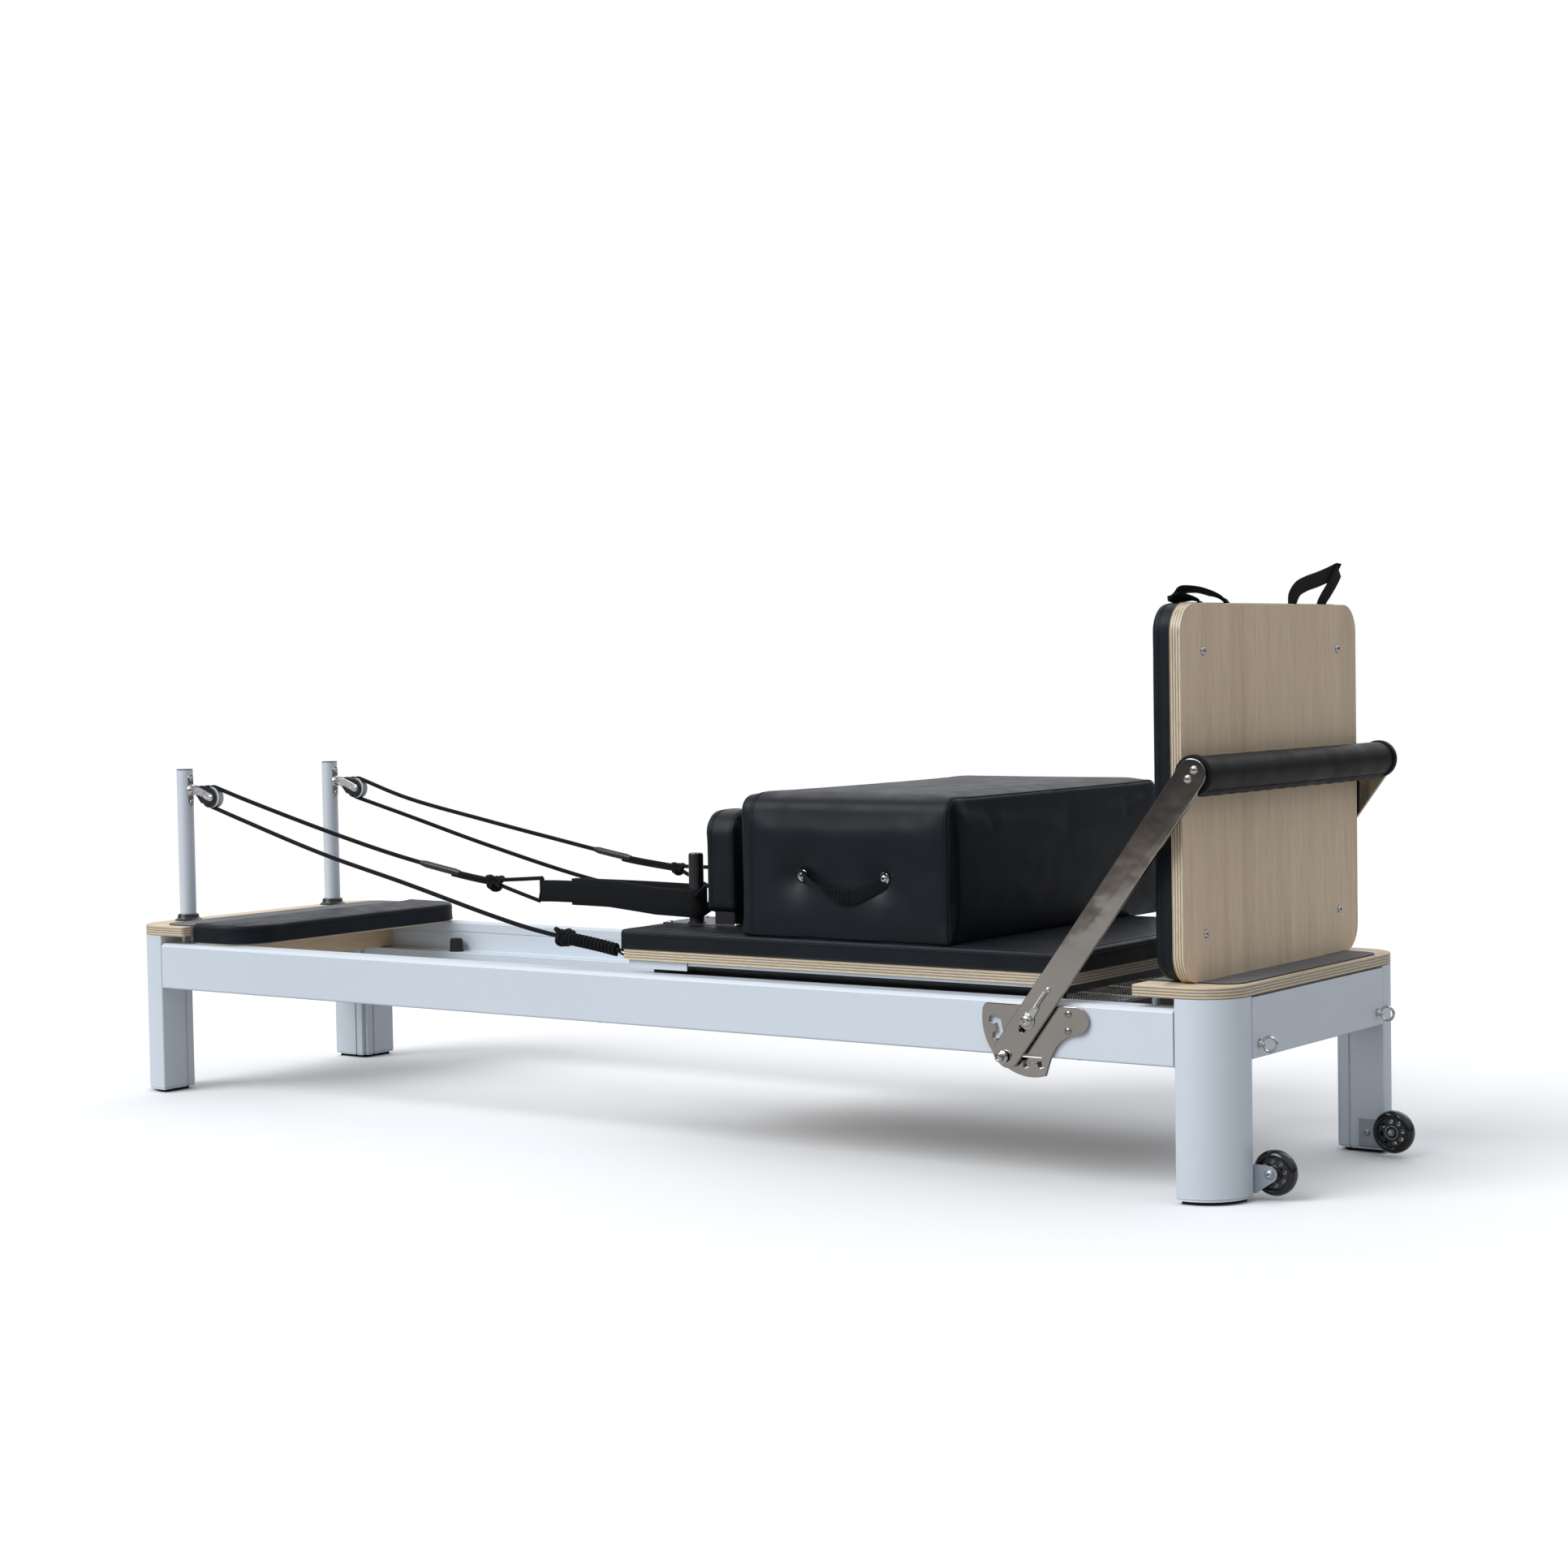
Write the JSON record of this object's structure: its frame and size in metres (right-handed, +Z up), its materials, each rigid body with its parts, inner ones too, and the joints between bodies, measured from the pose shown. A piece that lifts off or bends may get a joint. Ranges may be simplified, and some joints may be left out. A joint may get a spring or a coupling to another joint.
{
  "type": "pilates reformer",
  "caption": "Pilates reformer with a sprung sliding carriage, pulley risers and ropes, a folding footbar, a lift-out jump board and a sitting box",
  "frame": {"origin": "bottom centre of the bounding box, on the floor", "axes": "+X runs along the bed to the foot end with the footbar and the jump board, -X to the pulley risers, -Y is the near long side in the picture, +Z is up"},
  "size_m": [2.461, 0.757, 0.9593],
  "materials": {
    "aluminium": "satin silver powder coat over extruded aluminium",
    "rubber": "matte black rubber",
    "plywood": "birch plywood with clear-coated layered edges and a beige laminate face",
    "laminate": "beige wood-grain laminate, satin",
    "leather": "black faux leather with a fine grain, satin",
    "polished_steel": "polished stainless steel",
    "zinc_steel": "zinc-plated steel",
    "black_steel": "black powder-coated steel",
    "sheave_plastic": "grey nylon",
    "wheel_plastic": "black cast polyurethane, glossy",
    "webbing": "black woven polyester webbing and braided rope"
  },
  "bodies": {
    "frame": {"leg_head_near": "aluminium", "leg_head_far": "aluminium", "leg_foot_near": "aluminium", "leg_foot_far": "aluminium", "pad_head_near": "rubber", "pad_head_far": "rubber", "pad_foot_near": "rubber", "pad_foot_far": "rubber", "side_rail_near": "aluminium", "side_rail_far": "aluminium", "end_rail_head": "aluminium", "end_rail_foot": "aluminium", "head_deck": "plywood", "foot_deck": "plywood", "end_platform": "leather", "head_crossboard": "laminate", "riser_post_near": "aluminium", "riser_post_far": "aluminium", "eyebolt_near": "polished_steel", "eyebolt_far": "polished_steel", "wheel_bracket_near": "zinc_steel", "wheel_bracket_far": "zinc_steel", "quadrant_near": "polished_steel", "quadrant_far": "polished_steel", "spring_bar": "black_steel", "rope_near": "webbing", "rope_far": "webbing", "spring_1": "polished_steel", "spring_2": "polished_steel", "spring_3": "polished_steel", "spring_4": "polished_steel"},
    "carriage": {"carriage_deck": "plywood", "carriage_pad": "leather", "carriage_chassis": "black_steel", "shoulder_bracket_near": "black_steel", "shoulder_bracket_far": "black_steel", "shoulder_rest_near": "leather", "shoulder_rest_far": "leather", "strap_near": "webbing", "strap_far": "webbing"},
    "sitting_box": {"box": "leather"},
    "board": {"jump_board": "laminate", "jump_board_pad": "leather", "handle_near": "webbing", "handle_far": "webbing"},
    "bar_hub": {"footbar_hub_near": "polished_steel", "footbar_hub_far": "polished_steel"},
    "bar": {"footbar_arm_near": "polished_steel", "footbar_arm_far": "polished_steel", "footbar_grip": "leather"},
    "roller_head_near": {"carriage_wheel_head_near": "rubber"},
    "roller_head_far": {"carriage_wheel_head_far": "rubber"},
    "roller_foot_near": {"carriage_wheel_foot_near": "rubber"},
    "roller_foot_far": {"carriage_wheel_foot_far": "rubber"},
    "pulley_near": {"pulley_block_near": "black_steel"},
    "pulley_wheel_near": {"sheave_near": "sheave_plastic"},
    "caster_near": {"transport_wheel_near": "wheel_plastic"},
    "pulley_far": {"pulley_block_far": "black_steel"},
    "pulley_wheel_far": {"sheave_far": "sheave_plastic"},
    "caster_far": {"transport_wheel_far": "wheel_plastic"}
  },
  "joints": [
    {"name": "carriage_slide", "type": "slide", "parent": "frame", "child": "carriage", "axis": [-1, 0, 0], "range_m": [0, 0.85], "stiffness_N_per_m": 400, "springref_m": -0.1, "deforming": ["spring_1", "spring_2", "spring_3", "spring_4", "rope_near", "rope_far"]},
    {"name": "roller_head_near_spin", "type": "hinge", "parent": "carriage", "child": "roller_head_near", "pos_m": [0.0635, -0.284, 0.2593], "axis": [0, 1, 0], "continuous": true},
    {"name": "roller_head_far_spin", "type": "hinge", "parent": "carriage", "child": "roller_head_far", "pos_m": [0.0635, 0.237, 0.2593], "axis": [0, 1, 0], "continuous": true},
    {"name": "roller_foot_near_spin", "type": "hinge", "parent": "carriage", "child": "roller_foot_near", "pos_m": [0.8235, -0.284, 0.2593], "axis": [0, 1, 0], "continuous": true},
    {"name": "roller_foot_far_spin", "type": "hinge", "parent": "carriage", "child": "roller_foot_far", "pos_m": [0.8235, 0.237, 0.2593], "axis": [0, 1, 0], "continuous": true},
    {"name": "box_lift", "type": "slide", "parent": "carriage", "child": "sitting_box", "axis": [0, 0, 1], "range_m": [0, 0.4]},
    {"name": "board_lift", "type": "slide", "parent": "frame", "child": "board", "axis": [0, 0, 1], "range_m": [0, 0.4]},
    {"name": "footbar_tilt", "type": "hinge", "parent": "frame", "child": "bar_hub", "pos_m": [0.8385, -0.0235, 0.264], "axis": [0, 1, 0], "range_deg": [0, 51]},
    {"name": "footbar_release", "type": "slide", "parent": "bar_hub", "child": "bar", "axis": [0.6004, 0, 0.7997], "range_m": [0, 0.011], "stiffness_N_per_m": 3000, "springref_m": -0.01},
    {"name": "pulley_swivel_near", "type": "hinge", "parent": "frame", "child": "pulley_near", "pos_m": [-1.1665, -0.2245, 0.588], "axis": [0, 0, 1], "range_deg": [-40, 40]},
    {"name": "sheave_spin_near", "type": "hinge", "parent": "pulley_near", "child": "pulley_wheel_near", "pos_m": [-1.1135, -0.2245, 0.575], "axis": [0, 1, 0], "continuous": true},
    {"name": "caster_spin_near", "type": "hinge", "parent": "frame", "child": "caster_near", "pos_m": [1.1955, -0.2375, 0.042], "axis": [0, 1, 0], "continuous": true},
    {"name": "pulley_swivel_far", "type": "hinge", "parent": "frame", "child": "pulley_far", "pos_m": [-1.1665, 0.1775, 0.588], "axis": [0, 0, 1], "range_deg": [-40, 40]},
    {"name": "sheave_spin_far", "type": "hinge", "parent": "pulley_far", "child": "pulley_wheel_far", "pos_m": [-1.1135, 0.1775, 0.575], "axis": [0, 1, 0], "continuous": true},
    {"name": "caster_spin_far", "type": "hinge", "parent": "frame", "child": "caster_far", "pos_m": [1.1955, 0.1905, 0.042], "axis": [0, 1, 0], "continuous": true}
  ],
  "couplings": [
    {"joint": "roller_head_near_spin", "follows": "carriage_slide", "rad_per_m": -45.455},
    {"joint": "roller_head_far_spin", "follows": "carriage_slide", "rad_per_m": -45.455},
    {"joint": "roller_foot_near_spin", "follows": "carriage_slide", "rad_per_m": -45.455},
    {"joint": "roller_foot_far_spin", "follows": "carriage_slide", "rad_per_m": -45.455}
  ]
}
